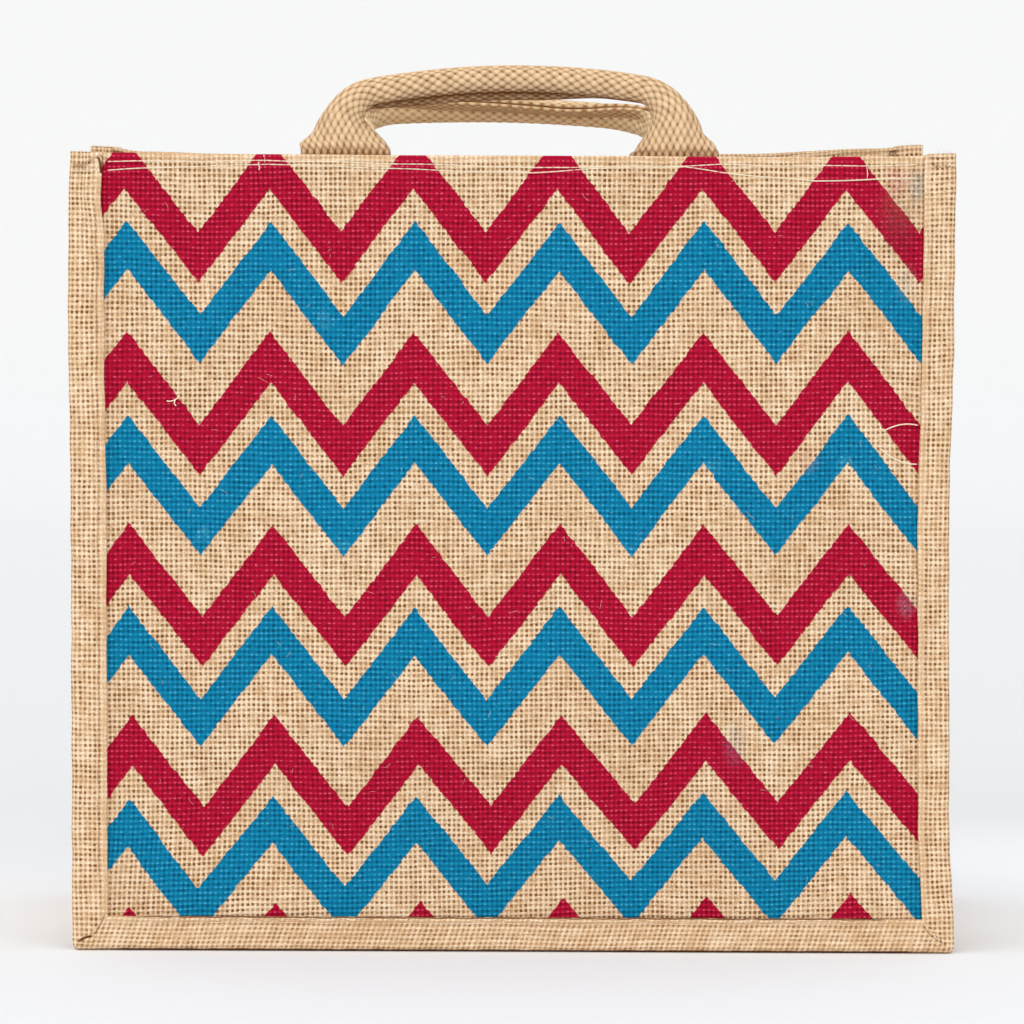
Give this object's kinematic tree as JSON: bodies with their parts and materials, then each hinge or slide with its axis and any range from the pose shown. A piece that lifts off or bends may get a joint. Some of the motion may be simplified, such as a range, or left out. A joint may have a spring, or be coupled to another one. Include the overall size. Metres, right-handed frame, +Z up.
{
  "type": "burlap bag",
  "caption": "Open box-shaped bag of coarse woven cloth with bound outward seams, a hemmed mouth and short rolled webbing handles.",
  "frame": {"origin": "on the floor, at the middle of the flat underside", "axes": "+Z up, the printed front faces -Y, +X to the right of it"},
  "size_m": [0.3633, 0.2081, 0.3558],
  "materials": {
    "front_panel_jute": "plain-woven jute with a printed zigzag in crimson and blue",
    "back_panel_jute": "plain-woven natural jute",
    "gusset_jute": "plain-woven natural jute",
    "front_binding_jute": "plain-woven natural jute",
    "back_binding_jute": "plain-woven natural jute",
    "front_handle_cotton": "undyed cotton webbing",
    "back_handle_cotton": "undyed cotton webbing"
  },
  "bodies": {
    "root": {"front_panel": "front_panel_jute", "back_panel": "back_panel_jute", "gusset": "gusset_jute", "front_binding": "front_binding_jute", "back_binding": "back_binding_jute", "front_handle": "front_handle_cotton", "back_handle": "back_handle_cotton"}
  },
  "joints": []
}
